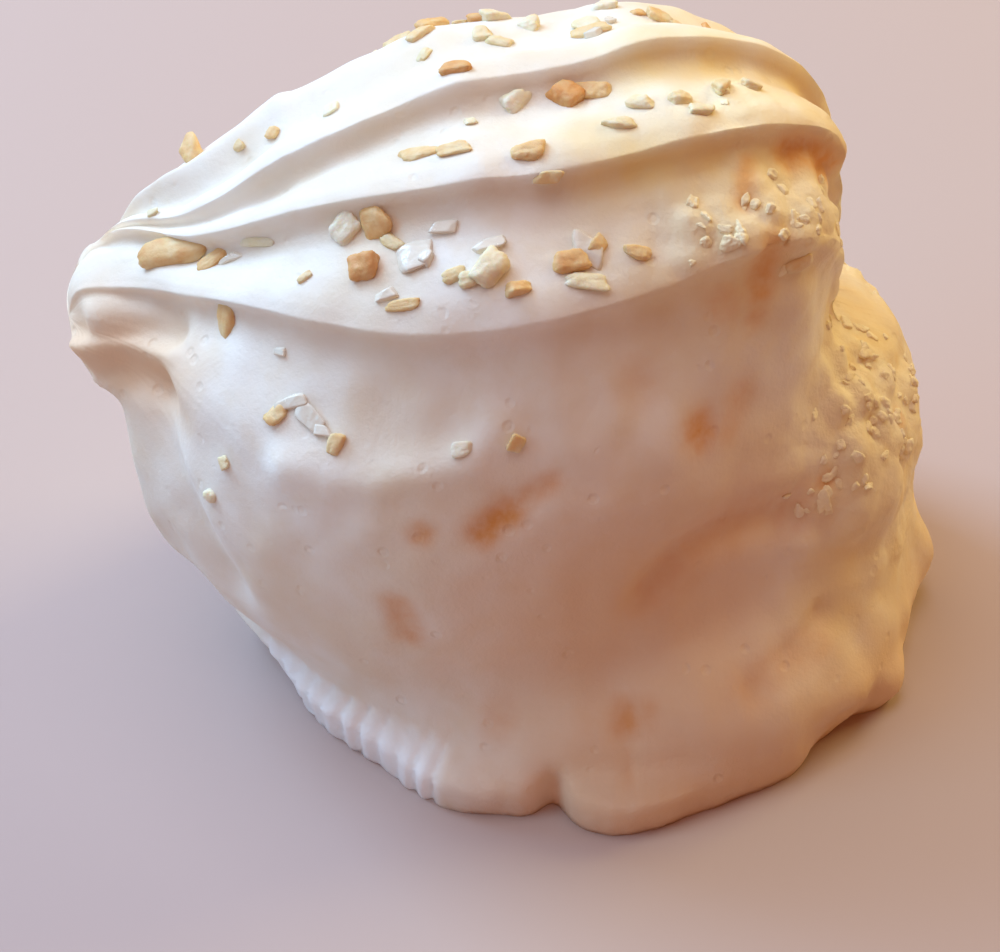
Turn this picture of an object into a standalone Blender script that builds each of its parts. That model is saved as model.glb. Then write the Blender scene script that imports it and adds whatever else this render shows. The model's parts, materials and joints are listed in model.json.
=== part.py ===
"""Meringue cookie, one baked piece piped with a star nozzle.

It sits on a flat base with the origin at the middle of the foot. X runs to the right, Y to the
back and Z up. The piped shell leans to -X, where its tip was pulled off. The blunt end where the
stroke began stands over the right of the foot. Sizes are in millimetres until the mesh is made.

Every point lies on a ray from CENTRE. Rays are counted by the angle from the tip and by the turn
around the tip line, so the rows of points follow the ridges that the nozzle left.
"""

import bmesh
import bpy
import numpy as np
from mathutils import Vector, noise

MM = 0.001

# Rays
CENTRE = np.array([-5.0, -1.0, 15.0])
TIP = np.array([-33.4, -3.4, 23.4])
ROWS = 54
COLUMNS_PER_FLUTE = 7
LONGEST_RAY = 44.0
SHORTEST_RAY = 7.0

# Foot, a round pad that spread on the baking sheet
FOOT_CENTRE = (0.3, -0.3, 2.2)
FOOT_RADIUS = 21.6
FOOT_HALF_HEIGHT = 12.7
RIM_HEIGHT = 2.6
RIM_FADE = 1.2
PLEAT_TOP = 21.0
PLEAT_SHARE = 0.75
COVERED_BEARING = 235.0
COVERED_HALF_WIDTH = 70.0
COVERED_FADE = 45.0

# Lower tier, the low drum that shows as a rounded shoulder on the right
TIER_CENTRE = (3.0, 2.3, 12.6)
TIER_HALF_SIZES = (17.6, 15.7, 11.6)
TIER_SQUARENESS = 2.5

# Belly, the body of the leaning shell
BELLY_CENTRE = (-8.2, -1.9, 17.0)
BELLY_HALF_SIZES = (20.8, 18.4, 20.0)

# Top of the shell, a thick rounded bar that ends in a nearly upright wall on the right
BAR_START = (-6.0, -1.2, 25.8)
BAR_END = (2.0, 0.6, 28.0)
BAR_START_RADIUS = 15.3
BAR_END_RADIUS = 13.8
WALL_X = 14.0
WALL_LEAN = 0.03
WALL_LEVEL = 30.0
WALL_BLEND = 3.0

# Nose, the taper that ends in the blunt tip
NOSE_START = (-18.6, 0.8, 24.8)
NOSE_END = (-30.0, -1.2, 23.2)
NOSE_START_RADIUS = 10.0
NOSE_END_RADIUS = 2.8
TIP_BLOCK_CENTRE = (-28.0, -3.4, 22.5)
TIP_BLOCK_HALF_SIZES = (4.7, 2.8, 3.3)
TIP_BLOCK_SQUARENESS = 4.5
TIP_BLEND = 1.2

# Blends between those shapes
TIER_BLEND = 2.6
BELLY_BLEND = 2.4
BAR_BLEND = 3.4
NOSE_BLEND = 6.0

# Ridges left by the nozzle: the turn around the tip line in degrees near the tip, over the middle
# and near the end, then the depth of the groove that follows it, and how far from the tip that
# groove reaches its full depth. Turn 0 is the top, positive turns are the front.
RIDGES = (
    (-160, -150, -146, 1.0, 13), (-134, -128, -120, 1.3, 13), (-110, -106, -95, 1.5, 13),
    (-84, -86, -73, 1.6, 13), (-58, -65, -53, 1.8, 13), (-34, -42, -36, 1.9, 13),
    (-14, -18, -22, 1.9, 24), (6, 6, -10, 1.9, 40), (12, 23, 1, 1.9, 20), (31, 45, 14, 1.7, 13),
    (66, 80, 52, 0.3, 13), (96, 106, 88, 0.2, 13), (130, 135, 126, 0.3, 13), (166, 170, 168, 1.0, 13),
)
# Where those three turns hold, in degrees from the tip, and how far beyond the last they go on.
STATIONS = (15.0, 60.0, 110.0)
END_REACH = 70.0
# Close to the tip the upper ridges bend over to the back, where the nozzle was pulled away.
BEND = 104.0
BEND_REACH = 11.6
BEND_TURNS = (-150.0, -18.0, 23.0, 45.0, 80.0)
BEND_SHARES = (0.0, 1.0, 1.0, 0.2, 0.0)
# Front grooves are deepest just below the ridge above them.
FRONT_TURNS = (0.0, 80.0)
FRONT_LEAN = 0.4
LIP_ROUNDING = 0.22
RIDGE_END = 146.0
RIDGE_END_FADE = 24.0

# Folds and swellings as strokes: the path, the width and the height. A groove is negative.
STROKES = (
    # rolled edge down the left of the wall and the groove beside it
    (((-28.8, -7.0, 19.5), (-28.5, -8.0, 14.5), (-27.2, -8.4, 9.5)), 2.2, 1.3),
    (((-26.6, -9.3, 21.6), (-24.8, -12.5, 16.6), (-22.3, -14.2, 11.8)), 1.6, -0.9),
    # fuller top of the nose
    (((-31.0, -0.5, 26.5), (-27.0, 1.0, 30.0)), 2.6, 0.9),
    # two short flutes on the front of the tip and the ridge between them
    (((-32.4, -5.2, 23.9), (-26.4, -7.6, 25.7)), 1.2, -1.3),
    (((-32.6, -5.3, 22.4), (-29.2, -6.7, 23.4), (-26.2, -9.0, 25.0)), 0.6, 0.5),
    (((-32.4, -5.3, 20.6), (-27.5, -8.4, 22.1)), 1.2, -1.1),
    # soft shelf across the front wall
    (((-18.2, -17.0, 23.3), (-13.0, -18.6, 23.7), (-8.0, -18.7, 25.2), (-6.2, -18.0, 27.0)), 1.4, 0.6),
    # curved fold low on the front, the swelling under it and the short crease beside it
    (((2.8, -17.2, 15.1), (4.4, -16.3, 17.1), (7.5, -14.1, 17.6), (13.1, -11.2, 16.4)), 1.1, -0.9),
    (((5.0, -17.3, 11.6), (10.0, -15.2, 12.8)), 3.0, 0.5),
    (((9.6, -17.6, 7.4), (11.6, -16.1, 7.7), (14.4, -12.9, 8.8)), 0.9, -0.8),
    # lumps on the right shoulder and at its foot
    (((18.0, 2.0, 20.5),), 3.2, 1.2),
    (((15.5, -6.5, 21.5),), 2.6, 0.6),
    (((21.5, 1.0, 14.5),), 3.0, 0.5),
    (((23.0, -1.5, 4.5),), 2.6, 1.2),
    (((17.6, -13.6, 3.5),), 2.4, 1.0),
    # fuller crown at the back and fuller corner over the wall
    (((-7.0, 4.0, 39.0), (-1.0, 5.0, 40.5)), 4.0, 0.7),
    (((13.0, -0.5, 37.0),), 2.6, 0.6),
    # the step between shell and lower tier, carried round the unseen back
    (
        ((14.6, 2.5, 24.5), (13.0, 10.5, 22.5), (6.0, 15.5, 19.5), (-4.0, 17.5, 16.5),
         (-14.0, 15.0, 14.5), (-23.0, 9.5, 12.5)),
        2.2, -1.5,
    ),
)

# Pleats of the lower tier, which end as scallops in the edge of the foot: the bearing in degrees,
# the half width and the push outwards. They are plain on the right and the back. The shell's
# smooth wall covers them at the front, down to the rim.
SCALLOPS = (
    (2, 7, 1.0), (332, 6, 0.7), (318, 9, -1.2), (276, 11, 1.7), (264, 3, -2.1), (247, 12, 1.6),
    (222, 14, 1.3), (195, 12, 0.9), (172, 5, -0.9), (150, 12, 0.9), (131, 4, -1.1), (112, 12, 0.9),
    (93, 4, -1.1), (72, 13, 1.0), (50, 4, -1.1), (30, 10, 0.9), (16, 4, -0.7),
)

# Uneven, slightly lumpy baked skin
LUMP_SPACING = 7.0
LUMP_HEIGHT = 0.35
CRUMBLE_SPACING = 3.2
CRUMBLE_HEIGHT = 0.55
CRUMBLE_FROM_X = 9.0
CRUMBLE_TO_X = 17.0

SKIN_COLOUR = (0.84, 0.78, 0.67, 1.0)
SKIN_ROUGHNESS = 0.62


def unit(vector):
    return vector / np.linalg.norm(vector)


TIP_LINE = unit(TIP - CENTRE)
TOPWARDS = unit(np.array([0.0, 0.0, 1.0]) - TIP_LINE * TIP_LINE[2])
FRONTWARDS = np.cross(TOPWARDS, TIP_LINE)


def smooth_union(a, b, blend):
    share = np.clip(0.5 + 0.5 * (b - a) / blend, 0.0, 1.0)
    return b * (1.0 - share) + a * share - blend * share * (1.0 - share)


def smooth_step(value, start, end):
    t = np.clip((value - start) / (end - start), 0.0, 1.0)
    return t * t * (3.0 - 2.0 * t)


def rounded_box(points, centre, half_sizes, squareness=2.0):
    """An ellipsoid at squareness 2, fuller in its corners above that. Negative inside."""
    scaled = np.abs((points - np.array(centre)) / np.array(half_sizes))
    return ((scaled**squareness).sum(-1) ** (1.0 / squareness) - 1.0) * min(half_sizes)


def tapered_bar(points, start, end, start_radius, end_radius):
    start = np.array(start)
    along = np.array(end) - start
    share = np.clip((points - start) @ along / (along @ along), 0.0, 1.0)
    apart = np.linalg.norm(points - start - share[..., None] * along, axis=-1)
    return apart - start_radius - (end_radius - start_radius) * share


def body_field(points):
    """Negative inside the plain body, before the nozzle's grooves."""
    foot = rounded_box(points, FOOT_CENTRE, (FOOT_RADIUS, FOOT_RADIUS, FOOT_HALF_HEIGHT))
    tier = rounded_box(points, TIER_CENTRE, TIER_HALF_SIZES, TIER_SQUARENESS)
    belly = rounded_box(points, BELLY_CENTRE, BELLY_HALF_SIZES)
    bar = tapered_bar(points, BAR_START, BAR_END, BAR_START_RADIUS, BAR_END_RADIUS)
    beyond_wall = points[..., 0] - WALL_X - WALL_LEAN * (WALL_LEVEL - points[..., 2])
    bar = -smooth_union(-bar, -beyond_wall, WALL_BLEND)
    nose = tapered_bar(points, NOSE_START, NOSE_END, NOSE_START_RADIUS, NOSE_END_RADIUS)
    body = smooth_union(foot, tier, TIER_BLEND)
    body = smooth_union(body, belly, BELLY_BLEND)
    body = smooth_union(body, nose, NOSE_BLEND)
    tip = rounded_box(points, TIP_BLOCK_CENTRE, TIP_BLOCK_HALF_SIZES, TIP_BLOCK_SQUARENESS)
    body = smooth_union(body, tip, TIP_BLEND)
    return smooth_union(body, bar, BAR_BLEND)


def body_reach(rays):
    """How far each ray runs from CENTRE before it leaves the plain body."""
    steps = np.linspace(SHORTEST_RAY, LONGEST_RAY, 28)
    inside = np.stack([body_field(CENTRE + rays * step) < 0.0 for step in steps], axis=1)
    last = len(steps) - 1 - np.argmax(inside[:, ::-1], axis=1)
    near = steps[last]
    far = steps[np.minimum(last + 1, len(steps) - 1)]
    for _ in range(14):
        middle = (near + far) / 2.0
        within = body_field(CENTRE + rays * middle[:, None]) < 0.0
        near = np.where(within, middle, near)
        far = np.where(within, far, middle)
    return (near + far) / 2.0


def gathered(turn, from_tip):
    """Where a ridge that has this turn over the middle runs, this far from the tip."""
    tip, middle, end = STATIONS
    at = middle + END_REACH * np.tanh((from_tip - middle) / END_REACH)
    near_tip = (at - middle) * (at - end) / ((tip - middle) * (tip - end))
    near_middle = (at - tip) * (at - end) / ((middle - tip) * (middle - end))
    near_end = (at - tip) * (at - middle) / ((end - tip) * (end - middle))
    ridges = np.array([ridge[:3] for ridge in RIDGES] + [[turn + 360 for turn in RIDGES[0][:3]]])
    turn = np.where(turn < ridges[0, 1], turn + 360.0, turn)
    at_tip, at_middle, at_end = (np.interp(turn, ridges[:, 1], ridges[:, column]) for column in range(3))
    bend = BEND * np.interp(turn, BEND_TURNS, BEND_SHARES) * np.exp(-((from_tip / BEND_REACH) ** 2))
    return at_tip * near_tip + at_middle * near_middle + at_end * near_end - bend


def groove_depth(turn, from_tip):
    """Depth below the ridge line at this turn, zero on each ridge."""
    turns = np.array([ridge[1] for ridge in RIDGES] + [RIDGES[0][1] + 360.0])
    depths = np.array([ridge[3] for ridge in RIDGES] + [RIDGES[0][3]])
    turn = np.where(turn < turns[0], turn + 360.0, turn)
    index = np.clip(np.searchsorted(turns, turn, side="right") - 1, 0, len(turns) - 2)
    share = (turn - turns[index]) / (turns[index + 1] - turns[index])
    lean = np.where((turn > FRONT_TURNS[0]) & (turn < FRONT_TURNS[1]), FRONT_LEAN, 1.0)
    arch = np.sqrt(np.sin(np.pi * share**lean) ** 2 + LIP_ROUNDING**2) - LIP_ROUNDING
    starts = np.array([ridge[4] for ridge in RIDGES])
    fade = np.clip(from_tip / starts[index], 0.0, 1.0)
    fade = fade * np.clip((RIDGE_END - from_tip) / RIDGE_END_FADE, 0.0, 1.0)
    return depths[index] * arch * fade


def stroke_height(points, path, width, height):
    path = np.array(path)
    if len(path) == 1:
        nearest = np.linalg.norm(points - path[0], axis=-1)
    else:
        nearest = np.full(len(points), np.inf)
        for start, end in zip(path[:-1], path[1:]):
            nearest = np.minimum(nearest, tapered_bar(points, start, end, 0.0, 0.0))
    return height * np.exp(-((nearest / width) ** 2))


def lumps(points, spacing, seed):
    shift = Vector((seed, 2.0 * seed, 3.0 * seed))
    return np.array([noise.noise(Vector(point / spacing) + shift) for point in points])


def pleat_push(points):
    """How far each point of the lower tier moves outwards, in the pleats and the foot's edge."""
    bearing = np.degrees(np.arctan2(points[:, 1], points[:, 0]))
    push = np.zeros(len(points))
    for middle, half_width, amount in SCALLOPS:
        apart = np.abs((bearing - middle + 180.0) % 360.0 - 180.0)
        push += amount * np.exp(-((apart / half_width) ** 2))
    rim = 1.0 - smooth_step(points[:, 2], RIM_HEIGHT, RIM_HEIGHT + RIM_FADE)
    from_wall = np.abs((bearing - COVERED_BEARING + 180.0) % 360.0 - 180.0)
    bare = smooth_step(from_wall, COVERED_HALF_WIDTH, COVERED_HALF_WIDTH + COVERED_FADE)
    pleats = PLEAT_SHARE * bare * (1.0 - smooth_step(points[:, 2], RIM_HEIGHT, PLEAT_TOP))
    return push * np.maximum(rim, pleats)


def surface_points():
    """The rows of points from the tip to the far end, without the two end points."""
    from_tip = np.linspace(0.0, 180.0, ROWS + 2)[1:-1]
    turns = []
    ridge_turns = [ridge[1] for ridge in RIDGES] + [RIDGES[0][1] + 360.0]
    for start, end in zip(ridge_turns[:-1], ridge_turns[1:]):
        share = 0.5 - 0.5 * np.cos(np.pi * np.arange(COLUMNS_PER_FLUTE) / COLUMNS_PER_FLUTE)
        turns.extend(start + (end - start) * share)
    turns = np.array(turns)
    turns = np.where(turns > 180.0, turns - 360.0, turns)
    rows, columns = np.meshgrid(from_tip, turns, indexing="ij")
    return rows.ravel(), columns.ravel(), len(turns)


def shaped(from_tip, turn):
    angle = np.radians(from_tip)[:, None]
    around = np.radians(gathered(turn, from_tip))[:, None]
    rays = np.cos(angle) * TIP_LINE + np.sin(angle) * (
        np.cos(around) * TOPWARDS + np.sin(around) * FRONTWARDS
    )
    reach = body_reach(rays) - groove_depth(turn, from_tip)
    plain = CENTRE + rays * reach[:, None]
    for path, width, height in STROKES:
        reach = reach + stroke_height(plain, path, width, height)
    crumbly = smooth_step(plain[:, 0], CRUMBLE_FROM_X, CRUMBLE_TO_X)
    reach = reach + LUMP_HEIGHT * lumps(plain, LUMP_SPACING, 3.0)
    reach = reach + CRUMBLE_HEIGHT * crumbly * lumps(plain, CRUMBLE_SPACING, 7.0)
    points = CENTRE + rays * reach[:, None]
    outwards = points[:, :2] / np.linalg.norm(points[:, :2], axis=1)[:, None]
    points[:, :2] += outwards * pleat_push(points)[:, None]
    return points


def meringue_mesh():
    from_tip, turn, columns = surface_points()
    from_tip = np.concatenate([[0.0], from_tip, [180.0]])
    turn = np.concatenate([[0.0], turn, [0.0]])
    points = shaped(from_tip, turn) * MM
    solid = bmesh.new()
    verts = [solid.verts.new(point) for point in points]
    rings = [verts[1 + row * columns : 1 + (row + 1) * columns] for row in range(ROWS)]
    for column in range(columns):
        after = (column + 1) % columns
        solid.faces.new((verts[0], rings[0][column], rings[0][after]))
        solid.faces.new((verts[-1], rings[-1][after], rings[-1][column]))
        for near, far in zip(rings[:-1], rings[1:]):
            solid.faces.new((near[column], far[column], far[after], near[after]))
    bmesh.ops.recalc_face_normals(solid, faces=solid.faces)
    everything = solid.verts[:] + solid.edges[:] + solid.faces[:]
    cut = bmesh.ops.bisect_plane(
        solid, geom=everything, dist=1e-7, plane_co=(0, 0, 0), plane_no=(0, 0, -1), clear_outer=True
    )
    edge = [item for item in cut["geom_cut"] if isinstance(item, bmesh.types.BMEdge)]
    bmesh.ops.contextual_create(solid, geom=edge)
    for vert in solid.verts:
        if abs(vert.co.z) < 1e-6:
            vert.co.z = 0.0
    bmesh.ops.recalc_face_normals(solid, faces=solid.faces)
    mesh = bpy.data.meshes.new("meringue")
    solid.to_mesh(mesh)
    solid.free()
    return mesh


def skin_material():
    material = bpy.data.materials.new("baked_meringue")
    material.use_nodes = True
    shader = material.node_tree.nodes["Principled BSDF"]
    shader.inputs["Base Color"].default_value = SKIN_COLOUR
    shader.inputs["Roughness"].default_value = SKIN_ROUGHNESS
    shader.inputs["Metallic"].default_value = 0.0
    material.diffuse_color = SKIN_COLOUR
    return material


for leftover in list(bpy.data.objects):
    bpy.data.objects.remove(leftover, do_unlink=True)
bpy.context.scene.unit_settings.system = "METRIC"

group = bpy.data.collections.new("meringue_cookie")
bpy.context.scene.collection.children.link(group)
meringue = bpy.data.objects.new("meringue", meringue_mesh())
meringue.data.materials.append(skin_material())
group.objects.link(meringue)
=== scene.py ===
# %% [markdown]
# # A piped meringue cookie
#
# A meringue is egg white whipped with sugar, piped through a star nozzle and dried in a cool oven
# until it is a stiff, pale foam. This one was piped as a low round foot with a thick shell on top.
# The nozzle was then dragged to the left and lifted, which drew the ridges together into a blunt
# tip. Chopped toasted nuts were scattered over it before baking, and some of them sank in.
#
# The imported solid is loaded first. The dressed cookie must fill the same space.

import json
import math

import bmesh
import bpy
import numpy as np
from mathutils import Matrix, Vector, noise
from mathutils.bvhtree import BVHTree

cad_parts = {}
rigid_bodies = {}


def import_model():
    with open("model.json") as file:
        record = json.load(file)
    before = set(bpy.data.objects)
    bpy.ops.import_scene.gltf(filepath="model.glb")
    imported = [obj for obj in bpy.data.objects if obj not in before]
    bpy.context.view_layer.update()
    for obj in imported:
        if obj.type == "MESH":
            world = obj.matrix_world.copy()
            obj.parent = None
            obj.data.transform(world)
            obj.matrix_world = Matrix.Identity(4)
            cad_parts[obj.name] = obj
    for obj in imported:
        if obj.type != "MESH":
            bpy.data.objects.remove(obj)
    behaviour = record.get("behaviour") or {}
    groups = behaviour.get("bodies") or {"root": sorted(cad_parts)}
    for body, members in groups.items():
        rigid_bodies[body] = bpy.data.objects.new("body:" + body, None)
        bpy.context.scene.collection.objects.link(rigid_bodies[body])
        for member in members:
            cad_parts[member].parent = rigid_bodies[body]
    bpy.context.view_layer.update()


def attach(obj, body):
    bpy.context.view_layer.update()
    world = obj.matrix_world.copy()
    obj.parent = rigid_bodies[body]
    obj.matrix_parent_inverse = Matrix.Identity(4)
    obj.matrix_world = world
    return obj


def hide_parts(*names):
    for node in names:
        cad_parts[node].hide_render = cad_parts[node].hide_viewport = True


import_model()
MM = 0.001

# %% [markdown]
# ## Three small helpers
#
# Colours are written as the hex values that a paint program shows, and one function turns them
# into the linear values that the renderer works with. Materials are graphs of nodes, so a second
# function adds one node. Each of its inputs is a plain value, a hex colour or another node's
# output. Pattern sizes are real sizes in millimetres. A texture's scale is how many of its
# patterns fit into one metre.
#
# A Mix node has sockets for numbers and for colours under the same names, so its colour sockets
# are picked by their place in the row. So are the two inputs of a Math node, 0 and 1.

# %% Colour, node and pattern helpers
MIX_SHARE, MIX_UNDER, MIX_OVER, MIX_RESULT = 0, 6, 7, 2


def hex_colour(text):
    """sRGB hex to linear red, green, blue and alpha."""
    channels = [int(text[i : i + 2], 16) / 255.0 for i in (1, 3, 5)]
    linear = [c / 12.92 if c <= 0.04045 else ((c + 0.055) / 1.055) ** 2.4 for c in channels]
    return (*linear, 1.0)


def node(tree, kind, inputs=None, **settings):
    """One node. An input is a plain value, a hex colour or another node's output."""
    made = tree.nodes.new(kind)
    for name, value in settings.items():
        setattr(made, name, value)
    for name, value in (inputs or {}).items():
        if isinstance(value, bpy.types.NodeSocket):
            tree.links.new(value, made.inputs[name])
        else:
            made.inputs[name].default_value = hex_colour(value) if isinstance(value, str) else value
    return made


def patterns_per_metre(size_mm):
    return 1.0 / (size_mm * MM)


print("ivory in linear:", [round(c, 3) for c in hex_colour("#F4EEE2")])

# %% [markdown]
# ## The camera
#
# The cookie is seen from above at 40 degrees, from about 16 cm away, as a hand holds a phone over
# a table. A narrow lens keeps the near edge of the foot from swelling. The camera leans by two
# degrees, so it is turned about its own line of sight after it is tilted.

# %% Camera
SENSOR_WIDTH_MM = 36.0
LENS_MM = 82.8
CAMERA_PLACE_MM = (-6.2, -116.5, 106.6)
TILT_DOWN = 40.0
LEAN = 2.0

camera_data = bpy.data.cameras.new("hand_held_camera")
camera_data.sensor_width = SENSOR_WIDTH_MM
camera_data.lens = LENS_MM
camera_data.clip_start = 0.01
camera = bpy.data.objects.new("hand_held_camera", camera_data)
bpy.context.scene.collection.objects.link(camera)
camera.matrix_world = (
    Matrix.Translation(Vector(CAMERA_PLACE_MM) * MM)
    @ Matrix.Rotation(math.radians(90.0 - TILT_DOWN), 4, "X")
    @ Matrix.Rotation(math.radians(LEAN), 4, "Z")
)
bpy.context.scene.camera = camera
print("camera stands", round((camera.location.length) / MM), "mm from the foot")

# %% [markdown]
# ## The light
#
# Each light is a square panel, about 43 cm from the cookie, so its light is soft. A cool window
# stands on the left and behind, and whitens the ridges. The open sky on the left and the bright
# ceiling above add to it. A warm lamp on the right, a little behind, turns the right shoulder
# yellow. The front faces away from most of them, so it is lit by the warm room and by what the
# table sends back.

# %% Window, lamp and room
LIGHT_AIM_MM = (0.0, 0.0, 15.0)
# name, place in mm, width in mm, watts, colour
LIGHTS = (
    ("window", (-279.0, 161.0, 285.0), 180.0, 1.62, "#A6D6FF"),
    ("sky_on_the_left", (-348.0, -127.0, 212.0), 180.0, 0.42, "#7FD8FF"),
    ("ceiling", (-100.0, 50.0, 420.0), 400.0, 1.2, "#E6F2FF"),
    ("lamp", (276.0, 210.0, 240.0), 180.0, 0.74, "#FFF0A0"),
)
ROOM_COLOUR = "#FF9C62"
ROOM_STRENGTH = 0.3

for name, place_mm, width_mm, watts, colour in LIGHTS:
    panel = bpy.data.lights.new(name, "AREA")
    panel.shape = "SQUARE"
    panel.size = width_mm * MM
    panel.energy = watts
    panel.color = hex_colour(colour)[:3]
    light = bpy.data.objects.new(name, panel)
    bpy.context.scene.collection.objects.link(light)
    light.location = Vector(place_mm) * MM
    towards = (Vector(LIGHT_AIM_MM) - Vector(place_mm)).normalized()
    light.rotation_mode = "QUATERNION"
    light.rotation_quaternion = towards.to_track_quat("-Z", "Y")
room = bpy.data.worlds.new("warm_room")
room.use_nodes = True
room.node_tree.nodes["Background"].inputs["Color"].default_value = hex_colour(ROOM_COLOUR)
room.node_tree.nodes["Background"].inputs["Strength"].default_value = ROOM_STRENGTH
bpy.context.scene.world = room
bpy.context.scene.view_settings.view_transform = "Standard"

# %% [markdown]
# ## The table top
#
# The cookie stands on something pale and faintly pink. It matters more than a backdrop usually
# does, because the front of the cookie is lit by what it sends back. It is a plain matt sheet.

# %% Table top
HALF_TABLE = 1.2
CORNERS = ((-1.0, -1.0, 0.0), (1.0, -1.0, 0.0), (1.0, 1.0, 0.0), (-1.0, 1.0, 0.0))

table_mesh = bpy.data.meshes.new("table_top")
table_mesh.from_pydata([Vector(corner) * HALF_TABLE for corner in CORNERS], [], [(0, 1, 2, 3)])
table_top = bpy.data.objects.new("table_top", table_mesh)
bpy.context.scene.collection.objects.link(table_top)
table_finish = bpy.data.materials.new("pale_matt_table")
table_finish.use_nodes = True
table_shader = table_finish.node_tree.nodes["Principled BSDF"]
table_shader.inputs["Base Color"].default_value = hex_colour("#C2AEA8")
table_shader.inputs["Roughness"].default_value = 0.9
table_mesh.materials.append(table_finish)
print("table top is", 2 * HALF_TABLE, "m wide")

# %% [markdown]
# ## How the body is described
#
# Piped foam has no flat faces and no edges to extrude. It could be sculpted by hand, but a ridge
# drawn by hand wanders. Here the body is a rule: from one point inside it, every direction has a
# distance at which the surface lies. The plain body is six rounded forms melted together: the
# foot, the lower tier, the belly, the bar of the shell, the nose and the tip. The sizes are those
# of the solid, in millimetres.
#
# Directions are counted by the angle from the tip and by the turn around the line to the tip.
# The nozzle's ridges run along lines of constant turn, so rows of points follow them exactly.

# %% Sizes of the plain body
CENTRE = np.array([-5.0, -1.0, 15.0])
TIP = np.array([-33.4, -3.4, 23.4])

FOOT = dict(centre=(0.3, -0.3, 2.2), half_sizes=(21.6, 21.6, 12.7))
TIER = dict(centre=(3.0, 2.3, 12.6), half_sizes=(17.6, 15.7, 11.6), squareness=2.5)
BELLY = dict(centre=(-8.2, -1.9, 17.0), half_sizes=(20.8, 18.4, 20.0), squareness=2.0)
BAR = dict(start=(-6.0, -1.2, 25.8), end=(2.0, 0.6, 28.0), start_radius=15.3, end_radius=13.8)
WALL_X = 14.0
WALL_LEAN = 0.03
WALL_LEVEL = 30.0
NOSE = dict(start=(-18.6, 0.8, 24.8), end=(-30.0, -1.2, 23.2), start_radius=10.0, end_radius=2.8)
TIP_BLOCK = dict(centre=(-28.0, -3.4, 22.5), half_sizes=(4.7, 2.8, 3.3), squareness=4.5)
# how far each form melts into what is there before it
MELT = dict(wall=3.0, tier=2.6, belly=2.4, nose=6.0, tip=1.2, bar=3.4)
print("the ray centre is", CENTRE[2], "mm up, the tip", TIP[2], "mm")

# %% [markdown]
# ## Melting rounded forms together
#
# Each form is a field: a function that is negative inside it and positive outside, roughly its
# distance in millimetres. The smaller of two fields is their union. A smooth minimum rounds the
# corner between them as soft foam would.

# %% Fields of the plain body


def unit(vector):
    return vector / np.linalg.norm(vector)


def smooth_union(a, b, blend):
    share = np.clip(0.5 + 0.5 * (b - a) / blend, 0.0, 1.0)
    return b * (1.0 - share) + a * share - blend * share * (1.0 - share)


def smooth_step(value, start, end):
    t = np.clip((value - start) / (end - start), 0.0, 1.0)
    return t * t * (3.0 - 2.0 * t)


def rounded_box(points, centre, half_sizes, squareness=2.0):
    scaled = np.abs((points - np.array(centre)) / np.array(half_sizes))
    return ((scaled**squareness).sum(-1) ** (1.0 / squareness) - 1.0) * min(half_sizes)


def tapered_bar(points, start, end, start_radius=0.0, end_radius=0.0):
    start = np.array(start)
    along = np.array(end) - start
    share = np.clip((points - start) @ along / (along @ along), 0.0, 1.0)
    apart = np.linalg.norm(points - start - share[..., None] * along, axis=-1)
    return apart - start_radius - (end_radius - start_radius) * share


def body_field(points):
    beyond_wall = points[..., 0] - WALL_X - WALL_LEAN * (WALL_LEVEL - points[..., 2])
    bar = -smooth_union(-tapered_bar(points, **BAR), -beyond_wall, MELT["wall"])
    body = smooth_union(rounded_box(points, **FOOT), rounded_box(points, **TIER), MELT["tier"])
    body = smooth_union(body, rounded_box(points, **BELLY), MELT["belly"])
    body = smooth_union(body, tapered_bar(points, **NOSE), MELT["nose"])
    body = smooth_union(body, rounded_box(points, **TIP_BLOCK), MELT["tip"])
    return smooth_union(body, bar, MELT["bar"])


print("field at the centre:", round(float(body_field(CENTRE[None])[0]), 1), "mm")

# %% [markdown]
# ## How far each ray runs
#
# The surface is where the field changes sign. Each ray is sampled every millimetre and a bit, and
# the last sample inside is refined by halving. NumPy does this for all rays at once, which takes
# about a second. A loop in plain Python would take minutes.

# %% Reach of the rays
SHORTEST_RAY = 7.0
LONGEST_RAY = 44.0
RAY_SAMPLES = 28
HALVINGS = 14


def body_reach(rays):
    steps = np.linspace(SHORTEST_RAY, LONGEST_RAY, RAY_SAMPLES)
    inside = np.stack([body_field(CENTRE + rays * step) < 0.0 for step in steps], axis=1)
    last = len(steps) - 1 - np.argmax(inside[:, ::-1], axis=1)
    near = steps[last]
    far = steps[np.minimum(last + 1, len(steps) - 1)]
    for _ in range(HALVINGS):
        middle = (near + far) / 2.0
        within = body_field(CENTRE + rays * middle[:, None]) < 0.0
        near = np.where(within, middle, near)
        far = np.where(within, far, middle)
    return (near + far) / 2.0


print("the ray to the tip runs", round(float(body_reach(unit(TIP - CENTRE)[None])[0]), 1), "mm")

# %% [markdown]
# ## The nozzle's ridges
#
# Each tooth of the star nozzle leaves a groove, and the foam between two teeth stands as a ridge
# with a soft lip. The ridges turn a little as they run, so each one is given by its turn at three
# places: near the tip, over the middle and near the end. A quadratic passes through the three.
# Close to the tip the upper ridges also bend over to the back, where the nozzle was pulled away.
#
# Each groove is an arch between two ridges. On the front it is deepest just below the upper lip,
# so that side is steep and the other side is a long slope. That is what makes one side of each
# groove dark. The lips are a little rounder here than in the solid.

# %% Ridges and grooves
TIP_LINE = unit(TIP - CENTRE)
TOPWARDS = unit(np.array([0.0, 0.0, 1.0]) - TIP_LINE * TIP_LINE[2])
FRONTWARDS = np.cross(TOPWARDS, TIP_LINE)
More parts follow.
